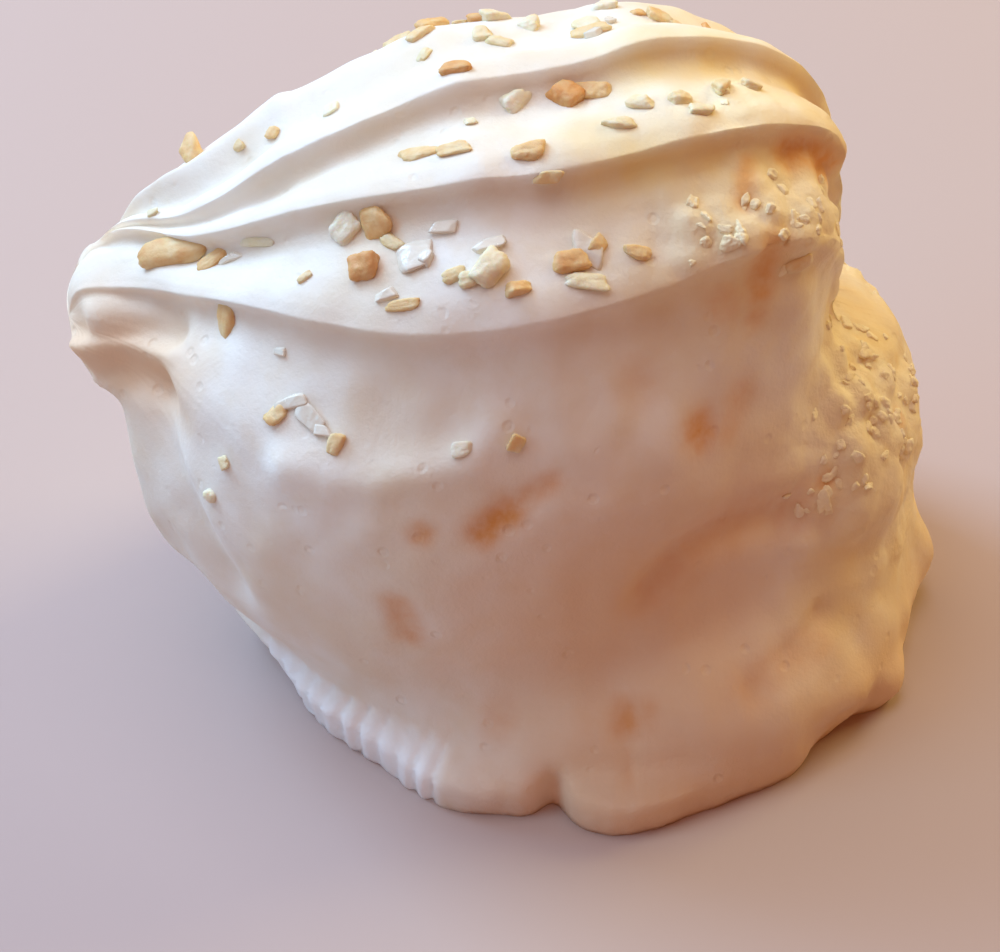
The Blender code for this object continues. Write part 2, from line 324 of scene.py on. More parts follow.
# turn near the tip, over the middle, near the end; groove depth in mm; degrees to full depth
RIDGES = (
    (-160, -150, -146, 1.0, 13), (-134, -128, -120, 1.3, 13), (-110, -106, -95, 1.5, 13),
    (-84, -86, -73, 1.6, 13), (-58, -65, -53, 1.8, 13), (-34, -42, -36, 1.9, 13),
    (-14, -18, -22, 1.9, 24), (6, 6, -10, 1.9, 40), (12, 23, 1, 1.9, 20), (31, 45, 14, 1.7, 13),
    (66, 80, 52, 0.3, 13), (96, 106, 88, 0.2, 13), (130, 135, 126, 0.3, 13),
    (166, 170, 168, 1.0, 13),
)
STATIONS = (15.0, 60.0, 110.0)
END_REACH = 70.0
BEND = 104.0
BEND_REACH = 11.6
BEND_TURNS = (-150.0, -18.0, 23.0, 45.0, 80.0)
BEND_SHARES = (0.0, 1.0, 1.0, 0.2, 0.0)
LIP_ROUNDING = 0.34
FRONT_TURNS = (0.0, 80.0)
FRONT_LEAN = 0.4
GROOVE_END = 146.0
GROOVE_FADE = 24.0


def gathered(turn, from_tip):
    """Where a ridge that has this turn over the middle runs, this many degrees from the tip."""
    tip, middle, end = STATIONS
    at = middle + END_REACH * np.tanh((from_tip - middle) / END_REACH)
    near_tip = (at - middle) * (at - end) / ((tip - middle) * (tip - end))
    near_middle = (at - tip) * (at - end) / ((middle - tip) * (middle - end))
    near_end = (at - tip) * (at - middle) / ((end - tip) * (end - middle))
    ridges = np.array([ridge[:3] for ridge in RIDGES] + [[turn + 360 for turn in RIDGES[0][:3]]])
    turn = np.where(turn < ridges[0, 1], turn + 360.0, turn)
    at_tip, at_middle, at_end = (np.interp(turn, ridges[:, 1], station) for station in ridges.T)
    bend = BEND * np.interp(turn, BEND_TURNS, BEND_SHARES) * np.exp(-((from_tip / BEND_REACH) ** 2))
    return at_tip * near_tip + at_middle * near_middle + at_end * near_end - bend


def groove_depth(turn, from_tip):
    turns = np.array([ridge[1] for ridge in RIDGES] + [RIDGES[0][1] + 360.0])
    turn = np.where(turn < turns[0], turn + 360.0, turn)
    index = np.clip(np.searchsorted(turns, turn, side="right") - 1, 0, len(turns) - 2)
    share = (turn - turns[index]) / (turns[index + 1] - turns[index])
    lean = np.where((turn > FRONT_TURNS[0]) & (turn < FRONT_TURNS[1]), FRONT_LEAN, 1.0)
    arch = np.sqrt(np.sin(np.pi * share**lean) ** 2 + LIP_ROUNDING**2) - LIP_ROUNDING
    depths, starts = np.array([ridge[3:] for ridge in RIDGES])[index].T
    fade_in = np.clip(from_tip / starts, 0.0, 1.0)
    fade_out = np.clip((GROOVE_END - from_tip) / GROOVE_FADE, 0.0, 1.0)
    return depths * arch * (fade_in * fade_out)


print(len(RIDGES), "ridges, the deepest groove", max(ridge[3] for ridge in RIDGES), "mm")

# %% [markdown]
# ## Folds, swellings and lumps
#
# Foam also folds where it meets itself and swells where the nozzle paused. Each of these is a
# stroke: a short path near the surface with a width and a height. Points close to the path are
# pushed out, or in when the height is negative, with a smooth bell-shaped fall-off.

# %% Strokes
STROKES = (
    # rolled edge down the left of the wall, and the groove beside it
    (((-28.8, -7.0, 19.5), (-28.5, -8.0, 14.5), (-27.2, -8.4, 9.5)), 2.2, 1.3),
    (((-26.6, -9.3, 21.6), (-24.8, -12.5, 16.6), (-22.3, -14.2, 11.8)), 1.6, -0.9),
    # fuller top of the nose
    (((-31.0, -0.5, 26.5), (-27.0, 1.0, 30.0)), 2.6, 0.9),
    # two short flutes on the front of the tip and the ridge between them
    (((-32.4, -5.2, 23.9), (-26.4, -7.6, 25.7)), 1.2, -1.3),
    (((-32.6, -5.3, 22.4), (-29.2, -6.7, 23.4), (-26.2, -9.0, 25.0)), 0.6, 0.5),
    (((-32.4, -5.3, 20.6), (-27.5, -8.4, 22.1)), 1.2, -1.1),
    # soft shelf across the front wall
    (
        ((-18.2, -17.0, 23.3), (-13.0, -18.6, 23.7), (-8.0, -18.7, 25.2), (-6.2, -18.0, 27.0)),
        1.4, 0.6,
    ),
    # curved fold low on the front, the swelling under it and the crease beside it
    (((2.8, -17.2, 15.1), (4.4, -16.3, 17.1), (7.5, -14.1, 17.6), (13.1, -11.2, 16.4)), 1.4, -0.8),
    (((5.0, -17.3, 11.6), (10.0, -15.2, 12.8)), 3.0, 0.5),
    (((9.6, -17.6, 7.4), (11.6, -16.1, 7.7), (14.4, -12.9, 8.8)), 0.9, -0.8),
    # lumps on the right shoulder and at its foot
    (((18.0, 2.0, 20.5),), 3.2, 1.2),
    (((15.5, -6.5, 21.5),), 2.6, 0.6),
    (((21.5, 1.0, 14.5),), 3.0, 0.5),
    (((23.0, -1.5, 4.5),), 2.6, 1.2),
    (((17.6, -13.6, 3.5),), 2.4, 1.0),
    # fuller crown at the back and fuller corner over the wall
    (((-7.0, 4.0, 39.0), (-1.0, 5.0, 40.5)), 4.0, 0.7),
    (((13.0, -0.5, 37.0),), 2.6, 0.6),
    # the step between shell and lower tier, carried round the back
    (
        ((14.6, 2.5, 24.5), (13.0, 10.5, 22.5), (6.0, 15.5, 19.5),
         (-4.0, 17.5, 16.5), (-14.0, 15.0, 14.5), (-23.0, 9.5, 12.5)),
        2.2, -1.5,
    ),
)


def distance_to_path(points, path):
    path = np.array(path)
    if len(path) == 1:
        return np.linalg.norm(points - path[0], axis=-1)
    apart = [tapered_bar(points, start, end) for start, end in zip(path[:-1], path[1:])]
    return np.min(apart, axis=0)


def bell(apart, width):
    return np.exp(-((apart / width) ** 2))


def lumps(points, spacing, seed):
    """Smooth noise from -1 to 1 with this spacing in millimetres."""
    shift = Vector((seed, 2.0 * seed, 3.0 * seed))
    return np.array([noise.noise(Vector(point / spacing) + shift) for point in points])


print(len(STROKES), "strokes")

# %% [markdown]
# ## The pleated foot
#
# The foot spread a little on the baking sheet, and the nozzle's teeth left pleats in it. They end
# as scallops in its edge. They are plain at the right and the back. At the front the shell's wall
# hangs over them down to the rim. On the left the rim also carries fine upright ribs, a millimetre
# and a half apart, where the foam tore off the last tooth. They are round on top, with narrow
# gaps, and no two are alike.

# %% Pleats, scallops and fine ribs
# bearing in degrees, half width in degrees, push in mm
SCALLOPS = (
    (2, 7, 1.0), (332, 6, 0.7), (318, 9, -1.2), (276, 11, 1.7), (264, 2.6, -1.5), (247, 12, 1.6),
    (222, 14, 1.3), (195, 12, 0.9), (172, 5, -0.9), (150, 12, 0.9), (131, 4, -1.1), (112, 12, 0.9),
    (93, 4, -1.1), (72, 13, 1.0), (50, 4, -1.1), (30, 10, 0.9), (16, 4, -0.7),
)
RIM_TOP = (2.6, 3.8)
PLEAT_TOP = (2.6, 21.0)
PLEAT_SHARE = 0.75
FRONT_BEARING = 235.0
UNCOVERED = (70.0, 115.0)
RIM_RADIUS = 22.4
RIB_PITCH = 1.45
RIB_HEIGHT = 0.75
RIB_BEARING = 226.0
RIB_SPREAD = (18.0, 22.0)
RIB_TOP = (3.2, 4.6)
RIB_STRETCH = (1.0, 1.0, 0.15)  # a rib hardly changes on its way up
RIB_DRIFT, RIB_DRIFT_SPACING = 2.2, 4.0
RIB_MEAN, RIB_VARIETY, RIB_VARIETY_SPACING = 0.65, 0.6, 2.6
RIBS_ELSEWHERE = 0.1
GAP_DEPTH = 0.75


def bearing_apart(points, bearing):
    """Degrees between each point's bearing, seen from above, and the given one."""
    own = np.degrees(np.arctan2(points[:, 1], points[:, 0]))
    return np.abs((own - bearing + 180.0) % 360.0 - 180.0)


def pleat_push(points):
    push = np.zeros(len(points))
    for bearing, half_width, amount in SCALLOPS:
        push += amount * bell(bearing_apart(points, bearing), half_width)
    rim = 1.0 - smooth_step(points[:, 2], *RIM_TOP)
    bare = smooth_step(bearing_apart(points, FRONT_BEARING), *UNCOVERED)
    pleats = PLEAT_SHARE * bare * (1.0 - smooth_step(points[:, 2], *PLEAT_TOP))
    return push * np.maximum(rim, pleats)


def near_ribs(points):
    """1 where the rim has ribs, 0 elsewhere round the foot."""
    return 1.0 - smooth_step(bearing_apart(points, RIB_BEARING), *RIB_SPREAD)


def rib_push(points):
    own = np.arctan2(points[:, 1], points[:, 0])
    upright = points * RIB_STRETCH
    drift = RIB_DRIFT * lumps(upright, RIB_DRIFT_SPACING, 11.0)
    crest = np.abs(np.sin(own * RIM_RADIUS / RIB_PITCH * math.pi + drift))
    uneven = RIB_MEAN + RIB_VARIETY * lumps(upright, RIB_VARIETY_SPACING, 13.0)
    strong = RIBS_ELSEWHERE + (1.0 - RIBS_ELSEWHERE) * near_ribs(points)
    rim = 1.0 - smooth_step(points[:, 2], *RIB_TOP)
    return RIB_HEIGHT * uneven * strong * rim * (np.sqrt(crest) - GAP_DEPTH)


print("ribs every", RIB_PITCH, "mm round a rim of", RIM_RADIUS, "mm radius")

# %% [markdown]
# ## Where the crust is crumbly
#
# The wall where the stroke began dried rough and broke a little: the right ends of the front
# ridges, the wall above the right shoulder, and the front of that shoulder. These places are a few
# soft patches. In them the skin is made of grains of one to three millimetres. Grains come from
# cell noise: every point is near some cell's middle, and stands higher the nearer it is.

# %% Crumbly patches and their grains
# middle and radius in mm, and how broken
CRUMBLY_PATCHES = (
    ((15.8, -4.5, 20.8), 5.5, 1.0), ((18.5, -3.0, 18.5), 5.0, 0.9), ((14.0, -9.5, 17.5), 4.0, 0.8),
    ((9.5, -7.2, 35.3), 4.5, 0.8), ((5.0, -9.6, 35.4), 3.2, 0.7), ((12.4, -4.0, 33.5), 4.5, 0.7),
    ((9.5, -9.2, 30.5), 4.0, 0.4), ((5.5, -3.4, 39.8), 3.4, 0.5), ((20.5, -6.0, 9.0), 5.0, 0.35),
    ((17.0, 8.0, 19.0), 6.0, 0.5), ((13.5, 4.0, 30.0), 6.0, 0.5),
)
GRAIN_SIZE = 2.4
FINE_GRAIN_SIZE = 1.1
GRAIN_SPREAD = 1.25


def crumbliness(points):
    mask = np.zeros(len(points))
    for middle, radius, amount in CRUMBLY_PATCHES:
        mask = np.maximum(mask, amount * bell(distance_to_path(points, (middle,)), radius))
    return mask


def grains(points, size):
    """Height of rounded grains, from 0 in the cracks to about 1 on top."""
    to_middle = np.array([noise.voronoi(Vector(point / size))[0][0] for point in points])
    return 1.0 - np.minimum(1.0, to_middle * GRAIN_SPREAD)


print(len(CRUMBLY_PATCHES), "crumbly patches with grains of", GRAIN_SIZE, "mm")

# %% [markdown]
# ## Nuts just under the skin
#
# Some nut crumbs sank into the wet foam. They show as orange-brown spots in shallow dents, where
# their oil stained the skin. The same colour, without a dent, is painted as soft shade along the
# curved fold low on the front and the crease beside it. Each is a short path with a radius, a depth
# of colour and a depth of dent. A few more are spread over the back by a seeded generator, so that
# every run is the same.

# %% Stained spots and painted fold shade
# path, radius, depth of colour, depth of dent
SPOTS = [
    (((-10.5, -19.9, 21.0),), 0.9, 0.75, 0.15),
    (((-6.9, -19.8, 21.2), (-5.7, -19.3, 22.2)), 1.15, 1.0, 0.25),
    (((-4.9, -18.9, 23.0), (-3.3, -18.2, 23.8)), 0.75, 0.6, 0.15),
    (((1.3, -14.3, 27.9),), 1.7, 0.22, 0.1),
    (((5.0, -14.0, 24.5),), 1.4, 0.95, 0.25),
    (((6.6, -13.2, 24.0), (7.4, -12.0, 25.5)), 1.2, 0.4, 0.1),
    (((-11.8, -20.0, 15.5), (-11.2, -19.8, 13.0)), 1.1, 0.6, 0.2),
    (((1.9, -19.9, 6.8),), 1.0, 0.9, 0.3),
    (((3.1, -19.6, 7.0),), 0.9, 0.45, 0.1),
    (((2.2, -21.3, 4.1),), 0.42, 1.0, 0.35),
    (((-5.7, -19.7, 6.4),), 1.4, 0.35, 0.15),
    (((6.1, -10.8, 31.2),), 1.2, 0.45, 0.2),
    (((8.1, -10.2, 30.0),), 0.9, 0.5, 0.2),
    (((8.7, -9.3, 34.1), (8.1, -9.8, 31.4)), 1.1, 0.7, 0.2),
    (((7.0, -5.6, 37.0), (6.9, -7.9, 36.2)), 0.7, 0.7, 0.15),
    (((9.6, -4.0, 36.9), (10.6, -3.2, 36.5), (12.9, -1.8, 34.6)), 1.1, 0.9, 0.2),
    (((13.4, -9.9, 17.7),), 0.8, 0.7, 0.3),
    (((18.7, -4.0, 18.1),), 0.8, 0.5, 0.3),
    # the last two are no nut stains but painted shade along the curved fold low on the front and
    # the crease beside it
    (
        ((3.2, -16.4, 15.0), (5.7, -14.6, 17.1), (8.8, -12.5, 17.4), (11.9, -10.9, 16.6)),
        2.3, 0.3, 0.0,
    ),
    (((9.4, -17.4, 7.3), (11.6, -15.7, 7.8), (13.6, -13.7, 8.0)), 1.6, 0.35, 0.0),
]
SPOTS_BEHIND = 16
SPOT_RANGES = ((0.6, 1.3), (0.3, 0.9), (0.1, 0.3))
SPOT_BEARINGS, SPOT_HEIGHTS = (20.0, 170.0), (5.0, 34.0)
SPOT_DISTANCE, SPOT_MIDDLE_X = 19.0, -2.0
EDGE_SHARPNESS = 2.6
chance = np.random.default_rng(20)
for _ in range(SPOTS_BEHIND):
    bearing = math.radians(chance.uniform(*SPOT_BEARINGS))
    x = SPOT_DISTANCE * math.cos(bearing) + SPOT_MIDDLE_X
    middle = (x, SPOT_DISTANCE * math.sin(bearing), chance.uniform(*SPOT_HEIGHTS))
    SPOTS.append(((middle,), *(chance.uniform(*limits) for limits in SPOT_RANGES)))


# orange-brown nut oil stains, and painted shade along the low front fold and its crease
def nut_stain_and_fold_shade(points):
    mask = np.zeros(len(points))
    for path, radius, colour, _ in SPOTS:
        apart = distance_to_path(points, path) / radius
        mask = np.maximum(mask, colour * np.exp(-(apart**EDGE_SHARPNESS)))
    return mask


def dents(points):
    depth = np.zeros(len(points))
    for path, radius, _, dent in SPOTS:
        depth = np.maximum(depth, dent * bell(distance_to_path(points, path), radius))
    return depth


print(len(SPOTS), "stained spots")

# %% [markdown]
# ## From directions to points
#
# All the rules meet here. A direction gives a ray, the ray gives the plain body, the groove is
# taken off it, and strokes and lumps are added. The pleats and ribs move points straight outwards
# instead of along their ray, because the foot spread sideways on the sheet.

# %% Shape of the surface
SWELL_HEIGHT, SWELL_SPACING = 0.35, 7.0
LUMP_HEIGHT, LUMP_SPACING = 0.55, 3.2
LUMPY_FROM_X = (9.0, 17.0)
WAVE_HEIGHT, WAVE_SPACING = 0.15, 2.3
DRAG_HEIGHT, DRAG_WIDTH, DRAG_LENGTH = 0.035, 1.7, 26.0
GRAIN_HEIGHT, FINE_GRAIN_HEIGHT, GRAIN_SINK = 1.15, 0.3, 0.7


def shaped(from_tip, turn):
    angle = np.radians(from_tip)[:, None]
    around = np.radians(gathered(turn, from_tip))[:, None]
    across = np.cos(around) * TOPWARDS + np.sin(around) * FRONTWARDS
    rays = np.cos(angle) * TIP_LINE + np.sin(angle) * across
    reach = body_reach(rays) - groove_depth(turn, from_tip)
    plain = CENTRE + rays * reach[:, None]
    for path, width, height in STROKES:
        reach = reach + height * bell(distance_to_path(plain, path), width)
    reach = reach + SWELL_HEIGHT * lumps(plain, SWELL_SPACING, 3.0)
    lumpy = LUMP_HEIGHT * smooth_step(plain[:, 0], *LUMPY_FROM_X)
    reach = reach + lumpy * lumps(plain, LUMP_SPACING, 7.0)
    points = CENTRE + rays * reach[:, None]
    outwards = points[:, :2] / np.linalg.norm(points[:, :2], axis=1)[:, None]
    points[:, :2] += outwards * (pleat_push(points) + rib_push(points))[:, None]
    return points


def skin_relief(points, from_tip, turn):
    """Millimetres along the normal: dents, broken grains and the lines that the nozzle dragged."""
    drag = np.stack([turn / DRAG_WIDTH, from_tip / DRAG_LENGTH, np.zeros(len(turn))], axis=1)
    relief = WAVE_HEIGHT * lumps(points, WAVE_SPACING, 5.0) + DRAG_HEIGHT * lumps(drag, 1.0, 9.0)
    grain = GRAIN_HEIGHT * grains(points, GRAIN_SIZE)
    grain += FINE_GRAIN_HEIGHT * grains(points, FINE_GRAIN_SIZE) - GRAIN_SINK
    return relief - dents(points) + crumbliness(points) * grain


print("one point on top:", np.round(shaped(np.array([70.0]), np.array([0.0]))[0], 1), "mm")

# %% [markdown]
# ## The mesh of the body
#
# The rows and columns become four-sided faces, closed by a fan at each end. Columns crowd towards
# the lips of the ridges, where the surface turns fastest. The relief moves each point along its
# own normal. Then the mesh is cut flat at the table and closed there, as the cookie dried flat
# on its sheet.

# %% Body mesh
ROWS = 300
CUT_TOLERANCE = 1e-7
ON_TABLE = 1e-6
FACING_DOWN = -0.99
COLUMNS_PER_GROOVE = 24


def column_turns():
    turns = []
    lips = [ridge[1] for ridge in RIDGES] + [RIDGES[0][1] + 360.0]
    even = np.arange(COLUMNS_PER_GROOVE) / COLUMNS_PER_GROOVE
    for start, end in zip(lips[:-1], lips[1:]):
        share = 0.5 * even + 0.5 * (0.5 - 0.5 * np.cos(np.pi * even))
        turns.extend(start + (end - start) * share)
    turns = np.array(turns)
    return np.where(turns > 180.0, turns - 360.0, turns)


def cut_at_table(solid):
    everything = solid.verts[:] + solid.edges[:] + solid.faces[:]
    cut = bmesh.ops.bisect_plane(
        solid, geom=everything, dist=CUT_TOLERANCE,
        plane_co=(0, 0, 0), plane_no=(0, 0, -1), clear_outer=True,
    )
    edge = [item for item in cut["geom_cut"] if isinstance(item, bmesh.types.BMEdge)]
    underside = bmesh.ops.contextual_create(solid, geom=edge)["faces"][0]
    for vert in solid.verts:
        if abs(vert.co.z) < ON_TABLE:
            vert.co.z = 0.0
    underside.normal_update()
    if underside.normal.z > 0.0:
        underside.normal_flip()


def body_mesh():
    columns = column_turns()
    rows, turns = np.meshgrid(np.linspace(0.0, 180.0, ROWS + 2)[1:-1], columns, indexing="ij")
    from_tip = np.concatenate([[0.0], rows.ravel(), [180.0]])
    turn = np.concatenate([[0.0], turns.ravel(), [0.0]])
    points = shaped(from_tip, turn)
    solid = bmesh.new()
    verts = [solid.verts.new(point * MM) for point in points]
    around = len(columns)
    rings = [verts[1 + row * around : 1 + (row + 1) * around] for row in range(ROWS)]
    for column in range(around):
        after = (column + 1) % around
        solid.faces.new((verts[0], rings[0][column], rings[0][after]))
        solid.faces.new((verts[-1], rings[-1][after], rings[-1][column]))
        for near, far in zip(rings[:-1], rings[1:]):
            solid.faces.new((near[column], far[column], far[after], near[after]))
    if solid.calc_volume(signed=True) < 0.0:
        bmesh.ops.reverse_faces(solid, faces=solid.faces)
    solid.normal_update()
    for vert, height in zip(verts, skin_relief(points, from_tip, turn)):
        vert.co += vert.normal * float(height) * MM
    cut_at_table(solid)
    mesh = bpy.data.meshes.new("piped_meringue")
    for face in solid.faces:
        face.smooth = face.normal.z > FACING_DOWN
    solid.to_mesh(mesh)
    solid.free()
    return mesh


meringue = bpy.data.objects.new("piped_meringue", body_mesh())
bpy.context.scene.collection.objects.link(meringue)
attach(meringue, "root")
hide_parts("meringue")
meringue.data.calc_loop_triangles()
print("body:", len(meringue.data.loop_triangles), "triangles")

# %% [markdown]
# ## Telling the finish where things are
#
# The finish needs to know what happened to each spot of the skin. Five numbers are stored on every
# point of the mesh, each under a name: how crumbly it is, how stained by nuts (with painted shade
# in the low front fold), how golden, how much painted warm shade and how much painted light on the
# ribs it gets. A material reads them back by that name, so colour and shape always agree. The thick
# end stood nearer to the oven's heat, so its upper ridges and the right shoulder are partly
# toasted golden and partly painted with warm lamp light. The shoulder's top is painted warm lamp
# light, and the grooves between the upper ridges are painted warm shade. Painted warm shade also
# darkens the lower front wall and the underside of the tip. Painted light whitens the ribs on the
# left of the rim, where the light from the left falls on them.

# %% Marks for the finish
# golden: a toasted tint on the thick end, with painted warm lamp light on the right shoulder
GOLDEN_SHARE = 0.65
GOLDEN_FROM_X, GOLDEN_FROM_Z = (-4.0, 9.0), (27.0, 33.0)
SHOULDER_FROM_X = (9.0, 16.0)
# the shoulder's top gets the full golden colour: painted warm lamp light
LAMP_LIT_SHOULDER_TOP = ((15.1, -2.3, 22.3), (18.8, 0.5, 19.9))
LAMP_LIT_SHOULDER_WIDTH = 3.0
# painted warm shade: the golden colour laid into the grooves below the upper lips
PAINTED_WARM_SHADE_GROOVES = (
    ((-1.3, -7.5, 37.8), (3.7, -6.7, 37.4), (7.9, -5.2, 36.8), (12.0, -2.0, 34.5)),
    ((0.9, -0.7, 39.8), (5.6, 1.1, 39.6), (10.0, 2.8, 37.6)),
)
GROOVE_SHADE_SHARE, GROOVE_SHADE_WIDTH = 0.95, 2.6
# painted shade under the tip, in a warm brown
UNDER_TIP = ((-31.5, -5.5, 22.0), (-24.0, -9.0, 23.0))
UNDER_TIP_SHARE, UNDER_TIP_WIDTH = 0.9, 3.2
# painted light: the ribs on the left of the rim are whitened, as light from the left falls on them
PAINTED_RIB_LIGHT_UP_TO = (3.0, 4.4)
# painted warm shade on the lower front wall, mostly spared on the right shoulder
WALL_SHARE = 0.7
WALL_UP_TO, WALL_FROM_X = (16.0, 31.0), (-15.0, 0.0)
SHOULDER_SPARED = 0.85
SPARED_FROM_X, SPARED_FROM_Z = (7.0, 14.0), (2.0, 9.0)


def points_of(mesh):
    flat = np.empty(len(mesh.vertices) * 3)
    mesh.vertices.foreach_get("co", flat)
    return flat.reshape(-1, 3) / MM


def store(mesh, name, values):
    mark = mesh.attributes.new(name, "FLOAT", "POINT")
    mark.data.foreach_set("value", np.asarray(values, dtype=np.float32))


# toasted tint, plus painted warm light on the shoulder and painted warm shade in the grooves
def golden_toast_and_warm_light(points):
    x, _, z = points.T
    mask = GOLDEN_SHARE * smooth_step(x, *GOLDEN_FROM_X) * smooth_step(z, *GOLDEN_FROM_Z)
    mask = np.maximum(mask, GOLDEN_SHARE * smooth_step(x, *SHOULDER_FROM_X))
    mask = np.maximum(mask, bell(distance_to_path(points, LAMP_LIT_SHOULDER_TOP), LAMP_LIT_SHOULDER_WIDTH))
    for groove in PAINTED_WARM_SHADE_GROOVES:
        close = bell(distance_to_path(points, groove), GROOVE_SHADE_WIDTH)
        mask = np.maximum(mask, GROOVE_SHADE_SHARE * close)
    return mask


# painted light on the ribs; it also keeps the painted warm shade off them
def painted_rib_light(points):
    return near_ribs(points) * (1.0 - smooth_step(points[:, 2], *PAINTED_RIB_LIGHT_UP_TO))


# painted warm shade: the lower front wall and the tip's underside, kept off the lit ribs
def painted_warm_shade(points):
    x, _, z = points.T
    wall = WALL_SHARE * (1.0 - smooth_step(z, *WALL_UP_TO)) * smooth_step(x, *WALL_FROM_X)
    spared = smooth_step(x, *SPARED_FROM_X)
    wall *= 1.0 - SHOULDER_SPARED * spared * smooth_step(z, *SPARED_FROM_Z)
    under_tip = UNDER_TIP_SHARE * bell(distance_to_path(points, UNDER_TIP), UNDER_TIP_WIDTH)
    return np.maximum(wall, under_tip) * (1.0 - painted_rib_light(points))


skin_points = points_of(meringue.data)
MARKS = {"crumbly": crumbliness, "nut_stain_and_fold_shade": nut_stain_and_fold_shade, "golden_toast_and_warm_light": golden_toast_and_warm_light, "painted_warm_shade": painted_warm_shade, "painted_rib_light": painted_rib_light}
for name, rule in MARKS.items():
    values = rule(skin_points)
    store(meringue.data, name, values)
    print(name, "covers", round(float((values > 0.3).mean()), 3), "of the skin")

# %% [markdown]
# ## Baked egg-white foam
#
# The real material is egg white and sugar, whipped, piped and dried slowly. It is a white foam
# with a thin skin. Light enters it a little and comes out again, so shadows in it are soft. The
# skin is satin, not glossy, with a grain far under a millimetre and scattered burst bubbles.
#
# Its colour is built up in layers: ivory foam with paler and darker clouds, then the golden skin
# with its painted warm light and warm shade, the painted warm shade, the painted light on the ribs,
# the broken skin, and last the orange-brown oil of the nuts, which also paints shade in the low
# front fold. Each layer covers the ones before it by a share, which is a mark times soft noise, so
# its edge is ragged.

# %% Foam finish
GRAIN_MM = 0.35  # the real grain is about 0.1 mm, drawn coarser so that it shows
BUBBLE_MM = 1.6
CLOUD_MM = 9.0


def new_finish(name):
    """A material, its graph, its shader and the place of each point on the piece."""
    finish = bpy.data.materials.new(name)
    finish.use_nodes = True
    tree = finish.node_tree
    place = node(tree, "ShaderNodeTexCoord").outputs["Object"]
    return finish, tree, tree.nodes["Principled BSDF"], place


def clouds(tree, place, size_mm, low=0.0, high=1.0, least=0.0, most=1.0, detail=3.0, roughness=0.5):
    """Soft noise of this size, stretched so that low becomes least and high becomes most."""
    inputs = {"Vector": place, "Scale": patterns_per_metre(size_mm)}
    inputs.update({"Detail": detail, "Roughness": roughness})
    soft = node(tree, "ShaderNodeTexNoise", inputs).outputs["Fac"]
    inputs = {"Value": soft, "From Min": low, "From Max": high, "To Min": least, "To Max": most}
    return node(tree, "ShaderNodeMapRange", inputs).outputs["Result"]


foam, tree, shader, place = new_finish("baked_egg_white_foam")
marks = {
    name: node(tree, "ShaderNodeAttribute", attribute_name=name).outputs["Fac"] for name in MARKS
}
# the colour of nut oil, also used as painted shade in the low front fold; yellower where the skin
# is golden
stain_and_fold_shade_mix = {MIX_SHARE: marks["golden_toast_and_warm_light"], MIX_UNDER: "#DF9A52", MIX_OVER: "#F0A84A"}
stain_and_fold_shade_colour = node(tree, "ShaderNodeMix", stain_and_fold_shade_mix, data_type="RGBA").outputs[MIX_RESULT]
# mark, clouds, colour
LAYERS = (
    (1.0, clouds(tree, place, CLOUD_MM, 0.35, 0.65), "#EDE0CC"),
    (1.0, clouds(tree, place, 2.2, 0.5, 0.8, 0.0, 0.5), "#EADBC2"),
    # golden: partly toasted, partly painted warm lamp light on the shoulder and warm shade in the
    # grooves
    (marks["golden_toast_and_warm_light"], clouds(tree, place, 4.0, 0.3, 0.6, 0.45, 1.0), "#F8D98A"),
    # painted warm shade on the lower front wall and under the tip
    (marks["painted_warm_shade"], 1.0, "#EBC6A0"),
    # painted light: near-white ribs where light from the left falls on them
    (marks["painted_rib_light"], 1.0, "#FDFEFF"),
    (marks["crumbly"], clouds(tree, place, 1.3, 0.35, 0.65, 0.35, 1.0), "#FDF0C9"),
    # nut oil stains, and painted shade along the low front fold
    (marks["nut_stain_and_fold_shade"], clouds(tree, place, 0.9, 0.3, 0.6, 0.65, 1.0), stain_and_fold_shade_colour),
)
skin_colour = "#F5F1E9"
for mark, cloud, colour in LAYERS:
    share = node(tree, "ShaderNodeMath", {0: mark, 1: cloud}, operation="MULTIPLY").outputs["Value"]
    layer = {MIX_SHARE: share, MIX_UNDER: skin_colour, MIX_OVER: colour}
    skin_colour = node(tree, "ShaderNodeMix", layer, data_type="RGBA").outputs[MIX_RESULT]
tree.links.new(skin_colour, shader.inputs["Base Color"])
tree.links.new(clouds(tree, place, 1.8, 0.3, 0.7, 0.5, 0.72), shader.inputs["Roughness"])
shader.inputs["IOR"].default_value = 1.45
shader.inputs["Specular IOR Level"].default_value = 0.35
shader.subsurface_method = "BURLEY"  # quicker than tracing each path, and as soft here
shader.inputs["Subsurface Weight"].default_value = 0.35
shader.inputs["Subsurface Radius"].default_value = (1.0, 0.85, 0.7)
shader.inputs["Subsurface Scale"].default_value = 1.4 * MM
print("foam colour has", len(LAYERS), "layers and", len(tree.nodes), "nodes")

# %% [markdown]
# ## Grain and burst bubbles
#
# Relief finer than the mesh goes into the finish as bump, which bends the light without moving
# the surface. There are three layers, from coarse to fine: bubbles that burst at the skin, sugar
# grain, and grit on the broken patches. Each bump node takes the previous one's normal.

# %% Foam bump
bubbles = {"Vector": place, "Scale": patterns_per_metre(BUBBLE_MM)}
to_bubble = node(tree, "ShaderNodeTexVoronoi", bubbles).outputs["Distance"]
pit = {"Value": to_bubble, "From Min": 0.12, "From Max": 0.24, "To Min": -1.0, "To Max": 0.0}
pits = node(tree, "ShaderNodeMapRange", pit).outputs["Result"]
few = clouds(tree, place, 3.1, 0.52, 0.6, detail=1.0)
burst = node(tree, "ShaderNodeMath", {0: pits, 1: few}, operation="MULTIPLY").outputs["Value"]
rough = clouds(tree, place, 0.8, detail=4.0, roughness=0.6)
grit = {0: marks["crumbly"], 1: rough}
grit = node(tree, "ShaderNodeMath", grit, operation="MULTIPLY").outputs["Value"]
